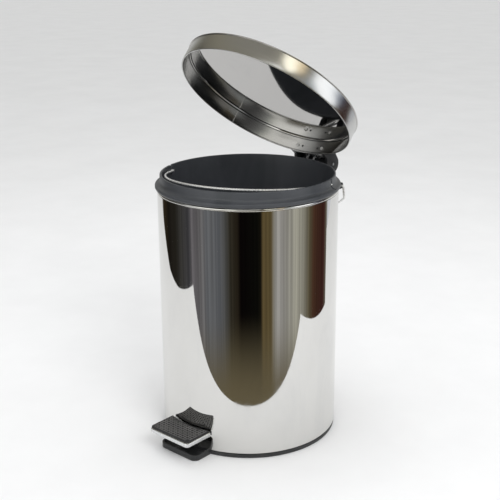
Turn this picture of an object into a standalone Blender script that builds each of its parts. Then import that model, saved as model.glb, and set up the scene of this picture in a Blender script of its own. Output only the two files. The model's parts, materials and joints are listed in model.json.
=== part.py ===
"""Pedal bin: steel body, black base with a foot tray, pedal with a lever and push rod, hinged steel
lid, lift-out bucket with a wire bail, and a wire carrying handle at the back.

Metres, +Z up. The origin is on the floor under the middle of the body. The pedal is at -Y, the lid's
hinge at +Y. The lid stands part open, which is the rest pose of every joint.
"""

import math

import bmesh
import bpy
from mathutils import Matrix, Vector

# ---------------------------------------------------------------- driving dimensions

TURN_STEPS = 56
GAP = 0.0003

SHELL_RADIUS = 0.1250
SHELL_WALL = 0.0008
SHELL_BOTTOM = 0.0072
SHELL_TOP = 0.3530

BASE_RADIUS = 0.1243
BASE_BAND_TOP = 0.0056
BASE_SPIGOT_TOP = 0.0180
PLATE_TOP = 0.0045

BUCKET_TURN = math.radians(18.8)
BUCKET_BOTTOM = 0.0400
RIM_TOP = 0.3730
RIM_RADIUS = 0.1209
RIM_INNER = 0.1180
RIM_FLARE = 0.1279

BAIL_Z = 0.3651
BAIL_RADIUS = 0.1133
BAIL_WIRE = 0.00145
BAIL_REST = math.radians(5.3)

HINGE_Y = 0.1530
HINGE_Z = 0.3620
HINGE_PIN_RADIUS = 0.0020
LID_OPEN = math.radians(40.75)
LID_RADIUS = 0.1275
LID_WALL = 0.0010
LID_RIM_Z = 0.3598
LID_TOP_Z = 0.3848

CRANK_Y = -0.0090
CRANK_Z = 0.0110
ROD_WIRE = 0.0015
ROD_HALF = 0.0061

PIVOT_Y = 0.0385
PIVOT_Z = 0.0155
LEVER_Z = 0.0205
TREAD_HALF = 0.0370
TREAD_FRONT = -0.1660
TREAD_BACK = 0.1280
TREAD_Z = 0.0380
TREAD_SKIRT = 0.0062
PAD_BORDER = 0.0012

HANDLE_Y = 0.1035
HANDLE_Z = 0.3470
HANDLE_WIRE = 0.0015
CLIP_X = 0.0800


# ---------------------------------------------------------------- outlines and paths

def fillet(corners, closed=True, steps=4):
    """Points through corners, each (position, radius), with an arc of `steps` spans at a radius."""
    points = []
    for index, (corner, radius) in enumerate(corners):
        corner = Vector(corner)
        if radius == 0 or (not closed and index in (0, len(corners) - 1)):
            points.append(corner)
            continue
        before = (Vector(corners[index - 1][0]) - corner).normalized()
        after = (Vector(corners[(index + 1) % len(corners)][0]) - corner).normalized()
        half = before.angle(after) / 2
        centre = corner + (before + after).normalized() * (radius / math.sin(half))
        start = (corner + before * (radius / math.tan(half)) - centre).normalized()
        end = (corner + after * (radius / math.tan(half)) - centre).normalized()
        sweep = start.angle(end)
        for step in range(steps + 1):
            part = step / steps
            spoke = start * math.sin((1 - part) * sweep) + end * math.sin(part * sweep)
            points.append(centre + spoke * (radius / math.sin(sweep)))
    return points


def outline(*corners, steps=4):
    """A closed outline from corners (a, b) or (a, b, radius)."""
    listed = [((corner[0], corner[1], 0), corner[2] if len(corner) > 2 else 0) for corner in corners]
    return [(point.x, point.y) for point in fillet(listed, True, steps)]


def path(*corners, steps=5):
    """An open path from corners (x, y, z) or (x, y, z, radius)."""
    return fillet([(corner[:3], corner[3] if len(corner) > 3 else 0) for corner in corners], False, steps)


def arc(radius, start, end, steps, centre=(0, 0)):
    """Points on an arc, with the angles in degrees."""
    angles = [math.radians(start + (end - start) * step / steps) for step in range(steps + 1)]
    return [(centre[0] + radius * math.cos(a), centre[1] + radius * math.sin(a)) for a in angles]


# ---------------------------------------------------------------- materials

def material(name, colour, roughness, metallic=0.0):
    made = bpy.data.materials.new(name)
    made.use_nodes = True
    shader = made.node_tree.nodes["Principled BSDF"]
    shader.inputs["Base Color"].default_value = (*colour, 1)
    shader.inputs["Roughness"].default_value = roughness
    shader.inputs["Metallic"].default_value = metallic
    return made


# ---------------------------------------------------------------- solids

def piece(name, mesh, parent, finish):
    """Turn a finished bmesh into a named object under its parent."""
    bmesh.ops.remove_doubles(mesh, verts=mesh.verts, dist=1e-6)
    bmesh.ops.dissolve_degenerate(mesh, dist=1e-7, edges=mesh.edges)
    bmesh.ops.recalc_face_normals(mesh, faces=mesh.faces)
    data = bpy.data.meshes.new(name)
    mesh.to_mesh(data)
    mesh.free()
    data.shade_smooth()
    data.set_sharp_from_angle(angle=math.radians(35))
    data.materials.append(finish)
    made = bpy.data.objects.new(name, data)
    made.parent = parent
    bpy.context.collection.objects.link(made)
    return made


def turned(name, profile, parent, finish, steps=TURN_STEPS, place=None):
    """Spin a profile of (radius, height) about Z. A profile that starts on the axis ends on it."""
    mesh = bmesh.new()
    verts = [mesh.verts.new((radius, 0, height)) for radius, height in profile]
    pairs = list(zip(verts, verts[1:]))
    if profile[0][0] > 0:
        pairs.append((verts[-1], verts[0]))
    edges = [mesh.edges.new(pair) for pair in pairs]
    bmesh.ops.spin(
        mesh, geom=verts + edges, cent=(0, 0, 0), axis=(0, 0, 1), angle=math.tau, steps=steps,
        use_merge=True
    )
    if place is not None:
        bmesh.ops.transform(mesh, matrix=place, verts=mesh.verts)
    return piece(name, mesh, parent, finish)


PLANES = {
    "X": lambda a, b, along: (along, a, b),
    "Y": lambda a, b, along: (a, along, b),
    "Z": lambda a, b, along: (a, b, along),
}


def prism(name, points, axis, low, high, parent, finish):
    """Extrude a closed outline along an axis; the outline's plane is the other two axes in order."""
    mesh = bmesh.new()
    place = PLANES[axis]
    face = mesh.faces.new([mesh.verts.new(place(a, b, low)) for a, b in points])
    grown = bmesh.ops.extrude_face_region(mesh, geom=[face])
    moved = [item for item in grown["geom"] if isinstance(item, bmesh.types.BMVert)]
    bmesh.ops.translate(mesh, verts=moved, vec=Vector(place(0, 0, high - low)))
    return piece(name, mesh, parent, finish)


def block(name, low, high, parent, finish):
    """A plain box between two corners."""
    corners = [(low[0], low[1]), (high[0], low[1]), (high[0], high[1]), (low[0], high[1])]
    return prism(name, corners, "Z", low[2], high[2], parent, finish)


def bar(name, radius, start, end, parent, finish, sides=20):
    """A round bar between two points."""
    start, end = Vector(start), Vector(end)
    lean = (end - start).to_track_quat("Z", "Y").to_matrix().to_4x4()
    profile = [(0, 0), (radius, 0), (radius, (end - start).length), (0, (end - start).length)]
    return turned(name, profile, parent, finish, sides, Matrix.Translation(start) @ lean)


def wire(name, points, radius, parent, finish):
    """A bent wire with flat ends."""
    curve = bpy.data.curves.new(name, "CURVE")
    curve.dimensions = "3D"
    spline = curve.splines.new("POLY")
    spline.points.add(len(points) - 1)
    for target, point in zip(spline.points, points):
        target.co = (*point, 1)
    curve.bevel_depth = radius
    curve.bevel_resolution = 2
    curve.use_fill_caps = True
    curve.materials.append(finish)
    made = bpy.data.objects.new(name, curve)
    made.parent = parent
    bpy.context.collection.objects.link(made)
    return made


def shape(target, operation, *tools):
    """Boolean the tools with the target; the tools stay as hidden guides."""
    for tool in tools:
        tool.hide_render = True
        tool.display_type = "WIRE"
        step = target.modifiers.new(tool.name, "BOOLEAN")
        step.operation = operation
        step.solver = "EXACT"
        step.object = tool
    return target


def cut(target, *tools):
    return shape(target, "DIFFERENCE", *tools)


def join(target, *tools):
    return shape(target, "UNION", *tools)


def axis_at(name, location, turn=(0, 0, 0), parent=None):
    """An empty on a joint's axis."""
    made = bpy.data.objects.new(name, None)
    made.location = location
    made.rotation_euler = turn
    made.parent = parent
    bpy.context.collection.objects.link(made)
    return made


def fastener(name, place, outward, grip, shank, head, parent, finish):
    """A rivet or screw through `grip` of material, its domed head at `place`, facing outward."""
    outward = Vector(outward)
    lean = outward.to_track_quat("Z", "Y").to_matrix().to_4x4()
    tail = -grip - 2 * GAP
    dome = [(head, GAP), (head * 0.92, head * 0.34), (head * 0.6, head * 0.55), (0, head * 0.62)]
    foot = [(0, tail - head * 0.35), (head * 0.8, tail - head * 0.3), (head * 0.8, tail)]
    profile = foot + [(shank, tail), (shank, GAP)] + dome
    return turned(name, profile, parent, finish, 16, Matrix.Translation(place) @ lean)


def hole(name, place, outward, radius, parent, finish, depth=0.0060):
    """A cutter for a hole straight through a wall at `place`."""
    middle, outward = Vector(place), Vector(outward)
    return bar(name, radius, middle - outward * depth, middle + outward * depth, parent, finish, 16)


def on_wall(radius, x, z):
    """A point at the rear of a cylinder about Z, and the outward direction there."""
    y = math.sqrt(radius**2 - x**2)
    return (x, y, z), (x / radius, y / radius, 0)


# ---------------------------------------------------------------- places of the fasteners

WALL_ROWS = ((-0.0252, 0.3350), (0.0252, 0.3350), (-CLIP_X, 0.3360), (CLIP_X, 0.3360))
WALL_FASTENERS = [on_wall(SHELL_RADIUS, x, z) for x, z in WALL_ROWS]
HINGE_SCREWS = WALL_FASTENERS[:2]
BASE_SCREWS = [(0.1140 * math.cos(a), 0.1140 * math.sin(a)) for a in map(math.radians, (30, 150, 270))]
BRACKET_RIVETS = [(-0.0195, PIVOT_Y), (0.0195, PIVOT_Y)]
RIVET_X = 0.0220
SPARE_HOLE_X = 0.0140
LID_FIXING_Z = 0.3700
BAND_HOLES = ((-RIVET_X, 0.0018), (RIVET_X, 0.0018), (-SPARE_HOLE_X, 0.0016), (SPARE_HOLE_X, 0.0016))


# ---------------------------------------------------------------- the object

for old in list(bpy.data.objects):
    bpy.data.objects.remove(old)

polished = material("polished_steel", (0.80, 0.80, 0.79), 0.08, 1.0)
satin = material("satin_steel", (0.72, 0.73, 0.74), 0.28, 1.0)
bright_wire = material("bright_wire", (0.78, 0.78, 0.78), 0.15, 1.0)
zinc = material("zinc_steel", (0.62, 0.63, 0.64), 0.35, 1.0)
black = material("black_plastic", (0.020, 0.021, 0.023), 0.38)
bucket_grey = material("bucket_plastic", (0.045, 0.048, 0.054), 0.48)
rubber = material("black_rubber", (0.035, 0.035, 0.038), 0.75)

body = axis_at("body_axis", (0, 0, 0))
lid = axis_at("lid_axis", (0, HINGE_Y, HINGE_Z), (-LID_OPEN, 0, 0))
lever = axis_at("lever_axis", (0, PIVOT_Y, PIVOT_Z))
rod = axis_at("rod_axis", (0, HINGE_Y + CRANK_Y, HINGE_Z + CRANK_Z))
bucket = axis_at("bucket_axis", (0, 0, 0), (0, 0, BUCKET_TURN))
bail = axis_at("bail_axis", (0, 0, BAIL_Z), (-BAIL_REST, 0, 0), bucket)
handle = axis_at("handle_axis", (0, HANDLE_Y, HANDLE_Z))


def make_shell():
    """The steel tube, with a rolled bead on top and a lip that holds it in the base ring's groove."""
    inner = SHELL_RADIUS - SHELL_WALL
    bead = [
        (SHELL_RADIUS, SHELL_TOP - 0.0038), (SHELL_RADIUS + 0.0004, SHELL_TOP - 0.0028),
        (SHELL_RADIUS + 0.0004, SHELL_TOP - 0.0012), (SHELL_RADIUS - 0.0005, SHELL_TOP),
        (SHELL_RADIUS - 0.0021, SHELL_TOP), (SHELL_RADIUS - 0.0029, SHELL_TOP - 0.0012),
        (SHELL_RADIUS - 0.0029, SHELL_TOP - 0.0028), (SHELL_RADIUS - 0.0020, SHELL_TOP - 0.0040),
        (inner, SHELL_TOP - 0.0043),
    ]
    lip = [(inner, SHELL_BOTTOM + 0.0008), (0.1233, SHELL_BOTTOM + 0.0008), (0.1233, SHELL_BOTTOM)]
    shell = turned("body_shell", [(SHELL_RADIUS, SHELL_BOTTOM)] + bead + lip, body, polished)
    cut(
        shell,
        prism("shell_front_slot", outline((-0.0150, 0), (0.0150, 0), (0.0150, 0.0350, 0.005),
              (-0.0150, 0.0350, 0.005)), "Y", -0.14, -0.11, body, polished),
        prism("shell_rear_slot", outline((-0.0128, 0), (0.0128, 0), (0.0128, 0.0320, 0.004),
              (-0.0128, 0.0320, 0.004)), "Y", 0.11, 0.14, body, polished),
    )
    for number, (place, outward) in enumerate(WALL_FASTENERS):
        cut(shell, hole(f"shell_hole_{number}", place, outward, 0.0019, body, polished))
    return shell


def make_base():
    """The black ring with its foot tray in front and the pocket behind for the rod."""
    ring = turned("base_ring", outline(
        (0.1080, 0.0), (BASE_RADIUS, 0.0, 0.0012), (BASE_RADIUS, BASE_BAND_TOP, 0.0014),
        (0.1225, BASE_BAND_TOP + 0.0004), (0.1225, 0.0085), (0.1239, 0.0087),
        (0.1239, BASE_SPIGOT_TOP), (0.1212, BASE_SPIGOT_TOP), (0.1205, 0.0030), (0.1080, 0.0030),
        steps=3), body, black)

    tray = prism("tray_body", outline((-0.0350, -0.1500, 0.0095), (0.0350, -0.1500, 0.0095),
                 (0.0350, -0.1050), (-0.0350, -0.1050)), "Z", 0, 0.0088, body, black)
    pocket = prism("tray_pocket", outline((-0.0322, -0.1472, 0.0070), (0.0322, -0.1472, 0.0070),
                   (0.0322, -0.1284), (-0.0322, -0.1284)), "Z", 0.0030, 0.0200, body, black)
    rear = prism("rear_pocket_body", outline((-0.0165, 0.1050), (0.0165, 0.1050),
                 (0.0165, 0.1500, 0.006), (-0.0165, 0.1500, 0.006)), "Z", 0, 0.0300, body, black)
    well = prism("rear_pocket_well", outline((-0.0140, 0.1100), (0.0140, 0.1100),
                 (0.0140, 0.1475, 0.0045), (-0.0140, 0.1475, 0.0045)), "Z", 0.0030, 0.0400, body, black)

    above_band = turned("shell_room", [(0.1, 0.0056), (0.1253, 0.0056), (0.1253, 0.06), (0.1, 0.06)],
                        body, black)
    inside = turned("inner_room", [(0.05, -0.01), (0.1215, -0.01), (0.1215, 0.06), (0.05, 0.06)],
                    body, black)
    for part in (tray, rear):
        cut(part, above_band, inside)
    cut(tray, pocket)
    cut(rear, well)
    join(ring, tray, rear)
    cut(
        ring,
        block("lever_way", (-0.0148, -0.1300, 0.0056), (0.0148, -0.1150, 0.0348), body, black),
        block("tail_way", (-0.0125, 0.1150, 0.0056), (0.0125, 0.1300, 0.0348), body, black),
    )
    for number, place in enumerate(BASE_SCREWS):
        cut(ring, bar(f"ring_hole_{number}", 0.0018, (*place, 0.0010), (*place, 0.0080), body, black, 12))
    return ring


def make_base_plate():
    """The pressed steel plate that closes the base and carries the lever's bracket."""
    plate = turned("base_plate", [(0, 0.0033), (0.1190, 0.0033), (0.1190, PLATE_TOP), (0, PLATE_TOP)],
                   body, zinc, 48)
    for number, place in enumerate(BASE_SCREWS + BRACKET_RIVETS):
        low, high = (*place, 0.0), (*place, 0.0100)
        cut(plate, bar(f"plate_hole_{number}", 0.0018, low, high, body, zinc, 12))


def make_base_screws():
    for number, place in enumerate(BASE_SCREWS, 1):
        profile = [(0, 0.0014), (0.0014, 0.0014), (0.0014, PLATE_TOP + GAP), (0.0034, PLATE_TOP + GAP),
                   (0.0034, PLATE_TOP + 0.0014), (0.0022, PLATE_TOP + 0.0024), (0, PLATE_TOP + 0.0027)]
        turned(f"base_screw_{number}", profile, body, zinc, 16, Matrix.Translation((*place, 0)))


def make_lever_bracket():
    """A U of sheet steel riveted to the base plate, with an ear each side of the lever."""
    low, sheet = PLATE_TOP + GAP, 0.0016
    foot = prism("lever_bracket", outline((-0.0240, -0.009, 0.003), (0.0240, -0.009, 0.003),
                 (0.0240, 0.009, 0.003), (-0.0240, 0.009, 0.003)), "Z", low, low + sheet, body, zinc)
    foot.location.y = PIVOT_Y
    for side in (-1, 1):
        ear = prism(f"bracket_ear_{side}", outline((-0.0085, 0.0052), (0.0085, 0.0052),
                    (0.0050, PIVOT_Z + 0.0055, 0.004), (-0.0050, PIVOT_Z + 0.0055, 0.004)),
                    "X", side * 0.0146 - 0.0008, side * 0.0146 + 0.0008, body, zinc)
        ear.location.y = PIVOT_Y
        join(foot, ear)
    cut(foot, bar("bracket_bore", 0.0023, (-0.03, PIVOT_Y, PIVOT_Z), (0.03, PIVOT_Y, PIVOT_Z), body, zinc))
    for number, place in enumerate(BRACKET_RIVETS, 1):
        cut(foot, bar(f"bracket_hole_{number}", 0.0018, (*place, 0), (*place, 0.01), body, zinc, 12))
        profile = [(0, 0.0021), (0.0028, 0.0021), (0.0028, 0.0030), (0.0014, 0.0030),
                   (0.0014, low + sheet + GAP), (0.0030, low + sheet + GAP),
                   (0.0026, low + sheet + 0.0012), (0, low + sheet + 0.0017)]
        turned(f"bracket_rivet_{number}", profile, body, zinc, 16, Matrix.Translation((*place, 0)))
    bar("lever_pin", HINGE_PIN_RADIUS, (-0.0180, PIVOT_Y, PIVOT_Z), (0.0180, PIVOT_Y, PIVOT_Z), body, zinc)


def make_hinge_block():
    """The black block on the back of the shell, with two arms that hold the lid's pin."""
    plate = turned("hinge_block", [(SHELL_RADIUS + GAP, 0.3180), (0.1278, 0.3180), (0.1278, 0.3502),
                                   (0.1258, 0.3512), (0.1258, 0.3490), (SHELL_RADIUS + GAP, 0.3486)],
                   body, black)
    keep = prism("block_outline", outline((-0.0300, 0.3150, 0.008), (0.0300, 0.3150, 0.008),
                 (0.0300, 0.3600, 0.002), (-0.0300, 0.3600, 0.002)), "Y", 0.10, 0.14, body, black)
    shape(plate, "INTERSECT", keep)
    knuckle = arc(0.0072, -40, 150, 8, (HINGE_Y, HINGE_Z))
    side = [(0.1240, 0.3210), (0.1330, 0.3240)] + knuckle + [(0.1310, 0.3540), (0.1292, 0.3508),
                                                              (0.1240, 0.3500)]
    arms = prism("hinge_arms", side, "X", -0.0212, 0.0212, body, black)
    cut(
        arms,
        turned("arm_room", [(0.05, 0.30), (0.1262, 0.30), (0.1262, 0.38), (0.05, 0.38)], body, black),
        block("rod_way", (-0.0106, 0.1278, 0.30), (0.0106, 0.18, 0.40), body, black),
    )
    join(plate, arms)
    cut(plate, bar("block_bore", 0.0023, (-0.03, HINGE_Y, HINGE_Z), (0.03, HINGE_Y, HINGE_Z), body, black))
    for number, (place, outward) in enumerate(HINGE_SCREWS):
        cut(plate, hole(f"block_hole_{number}", place, outward, 0.0019, body, black))
        outside = Vector(place) + Vector(outward) * 0.0028
        name = f"hinge_screw_{'left' if number == 0 else 'right'}"
        fastener(name, outside, outward, 0.0028 + SHELL_WALL, 0.0015, 0.0031, body, zinc)
    bar("hinge_pin", HINGE_PIN_RADIUS, (-0.0318, HINGE_Y, HINGE_Z), (0.0318, HINGE_Y, HINGE_Z), body, zinc)


def make_handle_clips():
    """Two lugs riveted to the shell, each with an eye for the end of the handle's wire."""
    for side, name in ((-1, "left"), (1, "right")):
        tab = turned(f"handle_clip_{name}", [(SHELL_RADIUS + GAP, 0.3300), (0.1268, 0.3300),
                     (0.1268, 0.3488), (SHELL_RADIUS + GAP, 0.3488)], body, black)
        x = side * CLIP_X
        keep = prism(f"clip_outline_{name}", outline(
                     (x - 0.0042, 0.3310, 0.002), (x + 0.0042, 0.3310, 0.002),
                     (x + 0.0042, 0.3600), (x - 0.0042, 0.3600)), "Y", 0.08, 0.12, body, black)
        shape(tab, "INTERSECT", keep)
        eye = prism(f"clip_eye_{name}", outline((0.0900, 0.3420), (0.1080, 0.3428, 0.0034),
                    (0.1080, 0.3514, 0.0034), (0.0900, 0.3505)), "X", x - 0.0034, x + 0.0034, body, black)
        cut(
            eye,
            turned(f"eye_room_{name}", [(0.05, 0.33), (0.1262, 0.33), (0.1262, 0.36), (0.05, 0.36)],
                   body, black),
        )
        join(tab, eye)
        cut(tab, bar(f"clip_bore_{name}", 0.0018, (x - 0.01, HANDLE_Y, HANDLE_Z),
                     (x + 0.01, HANDLE_Y, HANDLE_Z), body, black, 16))
        place, outward = WALL_FASTENERS[2 if side < 0 else 3]
        cut(tab, hole(f"clip_hole_{name}", place, outward, 0.0018, body, black))
        outside = Vector(place) + Vector(outward) * 0.0018
        fastener(f"clip_rivet_{name}", outside, outward, 0.0018 + SHELL_WALL, 0.0014, 0.0027, body, satin)


def make_lid():
    """The domed top, the band under it, and the black bracket riveted behind, drawn shut."""
    shift = Matrix.Translation((0, -HINGE_Y, -HINGE_Z))
    lip = LID_RADIUS + 0.0010
    turned("lid_top", [
        (0, 0.3872), (0.050, 0.3867), (0.090, 0.3857), (0.1180, 0.3849), (0.1262, LID_TOP_Z),
        (lip - 0.0004, LID_TOP_Z - 0.0004), (lip, LID_TOP_Z - 0.0012), (lip, LID_TOP_Z - 0.0026),
        (lip - 0.0007, LID_TOP_Z - 0.0026), (lip - 0.0007, LID_TOP_Z - 0.0012),
        (LID_RADIUS - LID_WALL - GAP, LID_TOP_Z - 0.0012),
        (LID_RADIUS - LID_WALL - GAP, LID_TOP_Z - 0.0036), (0.1242, LID_TOP_Z - 0.0036),
        (0.1236, LID_TOP_Z - 0.0012), (0.1180, LID_TOP_Z - 0.0009), (0.090, 0.3847), (0.050, 0.3857),
        (0, 0.3862),
    ], lid, polished, place=shift)

    band = turned("lid_band", [
        (LID_RADIUS, LID_RIM_Z + 0.0006), (LID_RADIUS, LID_TOP_Z - 0.0016),
        (LID_RADIUS - LID_WALL, LID_TOP_Z - 0.0016), (LID_RADIUS - LID_WALL, LID_RIM_Z + 0.0006),
        (LID_RADIUS - LID_WALL + 0.0003, LID_RIM_Z), (LID_RADIUS - 0.0003, LID_RIM_Z),
    ], lid, satin, place=shift)
    for number, (x, radius) in enumerate(BAND_HOLES):
        place, outward = on_wall(LID_RADIUS, x, LID_FIXING_Z)
        cut(band, hole(f"band_hole_{number}", shift @ Vector(place), outward, radius, lid, satin))

    outside = arc(0.0135, -125, 78, 12)
    side = [(-0.0340, -0.0012), (-0.0175, -0.0012)] + outside + [(-0.0100, 0.0165), (-0.0340, 0.0180)]
    bracket = prism("lid_bracket", side, "X", -0.0310, 0.0310, lid, black)
    ends = 0.0260
    front_room = [(-0.0225, -0.05), (0.0010, -0.05), (0.0010, 0.0118), (-0.0040, 0.0128), (-0.0100, 0.0148),
                  (-0.0225, 0.0150)]
    back_room = [(0.0004, -0.05), (0.05, -0.05), (0.05, -0.0106)] + arc(0.0119, -12, 88, 8)
    cut(
        bracket,
        turned("band_room", [(0.05, 0.35), (LID_RADIUS + GAP, 0.35), (LID_RADIUS + GAP, 0.3815),
                             (LID_RADIUS + 0.0014, 0.3815), (LID_RADIUS + 0.0014, 0.39), (0.05, 0.39)],
               lid, black, place=shift),
        prism("bracket_pocket", front_room, "X", -ends, ends, lid, black),
        prism("bracket_back", back_room, "X", -ends, ends, lid, black),
    )
    crank = Matrix.Rotation(LID_OPEN, 4, "X") @ Vector((0, CRANK_Y, CRANK_Z))
    for number, middle in enumerate((-0.0090, 0.0090)):
        nose = arc(0.0034, -170, -20, 6, (crank.y, crank.z))
        side = [(crank.y - 0.0046, 0.0156)] + nose + [(crank.y + 0.0060, 0.0156)]
        lug = prism(f"crank_lug_{number}", side,
                    "X", middle - 0.0012, middle + 0.0012, lid, black)
        join(bracket, lug)
    cut(
        bracket,
        bar("bracket_bore", 0.0023, (-0.04, 0, 0), (0.04, 0, 0), lid, black),
        bar("crank_bore", 0.0018, (-0.02, crank.y, crank.z), (0.02, crank.y, crank.z), lid, black, 16),
    )
    for number, x in enumerate((-RIVET_X, RIVET_X)):
        place, outward = on_wall(LID_RADIUS, x, LID_FIXING_Z)
        place = shift @ Vector(place)
        cut(bracket, hole(f"lid_rivet_hole_{number}", place, outward, 0.0017, lid, black))
        name = f"lid_rivet_{'left' if number == 0 else 'right'}"
        inside = place - Vector(outward) * LID_WALL
        fastener(name, inside, -Vector(outward), LID_WALL + 0.0056, 0.0014, 0.0026, lid, bright_wire)


def make_pedal():
    """The lever through the body, with the tread plate, its rubber pad and two rivets."""
    high = LEVER_Z - PIVOT_Z
    lift = TREAD_Z - 0.0060 - LEVER_Z
    front = 0.1290 + PIVOT_Y
    thick = 0.0010
    over = [(0.1025, high + thick), (-front, high + thick), (-front - 0.0090, high + lift + thick),
            (-front - 0.0290, high + lift + thick)]
    under = [(-front - 0.0290, high + lift - thick), (-front - 0.0081, high + lift - thick),
             (-front, high - thick), (0.1025, high - thick)]
    blade = prism("pedal_lever", over + under, "X", -0.0118, 0.0118, lever, zinc)
    cut(
        blade,
        block("tail_left", (-0.02, 0.0700, 0), (-0.0088, 0.12, 0.02), lever, zinc),
        block("tail_right", (0.0088, 0.0700, 0), (0.02, 0.12, 0.02), lever, zinc),
    )
    for side in (-1, 1):
        cheek = prism(f"lever_cheek_{side}", outline((-0.0070, high), (0.0070, high),
                      (0.0042, -0.0046, 0.003), (-0.0042, -0.0046, 0.003)),
                      "X", side * 0.0108 - 0.0010, side * 0.0108 + 0.0010, lever, zinc)
        join(blade, cheek)
    cut(blade, bar("lever_bore", 0.0023, (-0.02, 0, 0), (0.02, 0, 0), lever, zinc))

    def local(x, y, z):
        return (x, y - PIVOT_Y, z - PIVOT_Z)

    plate_top = TREAD_Z - 0.0032
    plate = prism("pedal_plate", outline(
                  (-TREAD_HALF, TREAD_FRONT, 0.0055), (TREAD_HALF, TREAD_FRONT, 0.0055),
                  (TREAD_HALF, -0.1000), (-TREAD_HALF, -0.1000)), "Z", plate_top - TREAD_SKIRT, plate_top,
                  lever, satin)
    wall = 0.0014
    hollow = prism("plate_hollow", outline((-TREAD_HALF + wall, TREAD_FRONT + wall, 0.0041),
                   (TREAD_HALF - wall, TREAD_FRONT + wall, 0.0041), (TREAD_HALF - wall, -0.0900),
                   (-TREAD_HALF + wall, -0.0900)), "Z", 0, plate_top - wall, lever, satin)
    pad_half, pad_front = TREAD_HALF - PAD_BORDER, TREAD_FRONT + PAD_BORDER
    pad = prism("pedal_pad", outline((-pad_half, pad_front, 0.0043), (pad_half, pad_front, 0.0043),
                (pad_half, -0.1000), (-pad_half, -0.1000)), "Z", plate_top + GAP, TREAD_Z, lever, rubber)
    tools = []
    for name, radius in (("behind_plate", TREAD_BACK), ("behind_pad", TREAD_BACK + PAD_BORDER)):
        room = [(0.05, 0.01), (radius, 0.01), (radius, 0.09), (0.05, 0.09)]
        tools.append(turned(name, room, lever, satin))
    for item in (plate, hollow, pad, *tools):
        item.location = local(0, 0, 0)
    cut(plate, hollow, tools[0])
    cut(pad, tools[1])
    for number, x in enumerate((-0.0070, 0.0070)):
        rivet_at = local(x, -0.1500, 0)
        spot = Matrix.Translation((rivet_at[0], rivet_at[1], -PIVOT_Z))
        for target, tag in ((blade, "blade"), (plate, "plate")):
            tool = turned(f"{tag}_rivet_hole_{number}", [(0, 0.02), (0.0018, 0.02), (0.0018, 0.05),
                          (0, 0.05)], lever, zinc, 16, spot)
            cut(target, tool)
        relief = turned(f"pad_relief_{number}", [(0, 0.02), (0.0034, 0.02), (0.0034, plate_top + 0.0016),
                        (0, plate_top + 0.0016)], lever, zinc, 16, spot)
        cut(pad, relief)
        low = LEVER_Z + lift - thick
        profile = [(0, low - 0.0013), (0.0028, low - 0.0013), (0.0028, low - GAP), (0.0014, low - GAP),
                   (0.0014, plate_top + GAP), (0.0030, plate_top + GAP), (0.0028, plate_top + 0.0009),
                   (0, plate_top + 0.0012)]
        name = f"pedal_rivet_{'left' if number == 0 else 'right'}"
        turned(name, profile, lever, satin, 16, spot)


def make_push_rod():
    """A hairpin of wire; its ends turn outward through the bracket's lugs."""
    back = 0.1350 - (HINGE_Y + CRANK_Y)
    elbow = 0.3655 - (HINGE_Z + CRANK_Z)
    foot = 0.0260 - ROD_HALF - (HINGE_Z + CRANK_Z) + 0.0061
    half, end = ROD_HALF, 0.0103
    legs = [(-end, 0, 0), (-half, 0, 0, 0.0020), (-half, back, elbow, 0.0050),
            (-half, back, foot, half * 0.98), (half, back, foot, half * 0.98),
            (half, back, elbow, 0.0050), (half, 0, 0, 0.0020), (end, 0, 0)]
    wire("push_rod", path(*legs), ROD_WIRE, rod, bright_wire)


def make_bucket():
    """The round bucket, with a raised rim that flares over the shell's bead."""
    solid = turned("bucket", outline(
        (0, BUCKET_BOTTOM), (0.1095, BUCKET_BOTTOM, 0.006), (0.1197, 0.3520), (0.1197, 0.3534),
        (0.1268, 0.3536, 0.0008), (RIM_FLARE, 0.3558, 0.0012), (RIM_FLARE - 0.0002, 0.3590, 0.0014),
        (RIM_RADIUS + 0.0002, 0.3606, 0.0046), (RIM_RADIUS, RIM_TOP, 0.0009),
        (RIM_INNER, RIM_TOP, 0.0009), (RIM_INNER - 0.0003, 0.3530),
        (0.1077, BUCKET_BOTTOM + 0.0024, 0.004), (0, BUCKET_BOTTOM + 0.0024), steps=2),
        bucket, bucket_grey)
    for side in (-1, 1):
        low, high = sorted((side * 0.1140, side * 0.1300))
        throat = block(f"rim_throat_{side}", (low, -0.0011, 0.3580), (high, 0.0011, 0.3800),
                       bucket, bucket_grey)
        seat = bar(f"rim_seat_{side}", 0.0018, (low, 0, BAIL_Z), (high, 0, BAIL_Z), bucket, bucket_grey, 16)
        cut(solid, throat, seat)


def make_bail():
    """The bucket's wire bail, with its ends turned out through the rim's seats."""
    bow = [(x, -y, 0) for x, y in arc(BAIL_RADIUS, 172, 8, 30)]
    end, corner = 0.1225, BAIL_RADIUS + 0.0006
    first = path((-end, 0, 0), (-corner, 0, 0, 0.0030), bow[0], steps=4)
    last = path(bow[-1], (corner, 0, 0, 0.0030), (end, 0, 0), steps=4)
    points = first[:-1] + [Vector(point) for point in bow] + last[1:]
    wire("bucket_bail", points, BAIL_WIRE, bail, bright_wire)


def make_handle():
    """The carrying handle: a wire loop that hangs from the two clips."""
    end, out = 0.0748, 0.0868
    right = [(out, 0, 0, 0.0032), (out, 0.0030, -0.0180, 0.0080), (0.0470, 0.0440, -0.0400, 0.0300)]
    left = [(-corner[0], *corner[1:]) for corner in reversed(right)]
    wire("carry_handle", path((end, 0, 0), *right, *left, (-end, 0, 0), steps=6), HANDLE_WIRE, handle,
         bright_wire)


make_shell()
make_base()
make_base_plate()
make_base_screws()
make_lever_bracket()
make_hinge_block()
make_handle_clips()
make_lid()
make_pedal()
make_push_rod()
make_bucket()
make_bail()
make_handle()
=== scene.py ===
"""Looks of the pedal bin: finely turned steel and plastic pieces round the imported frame.

Metres, in the frame's own axes. Pieces of the lid are drawn with the lid shut and then turned up with it.
"""

import json
import math

import bmesh
import bpy
from mathutils import Matrix, Vector


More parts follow.
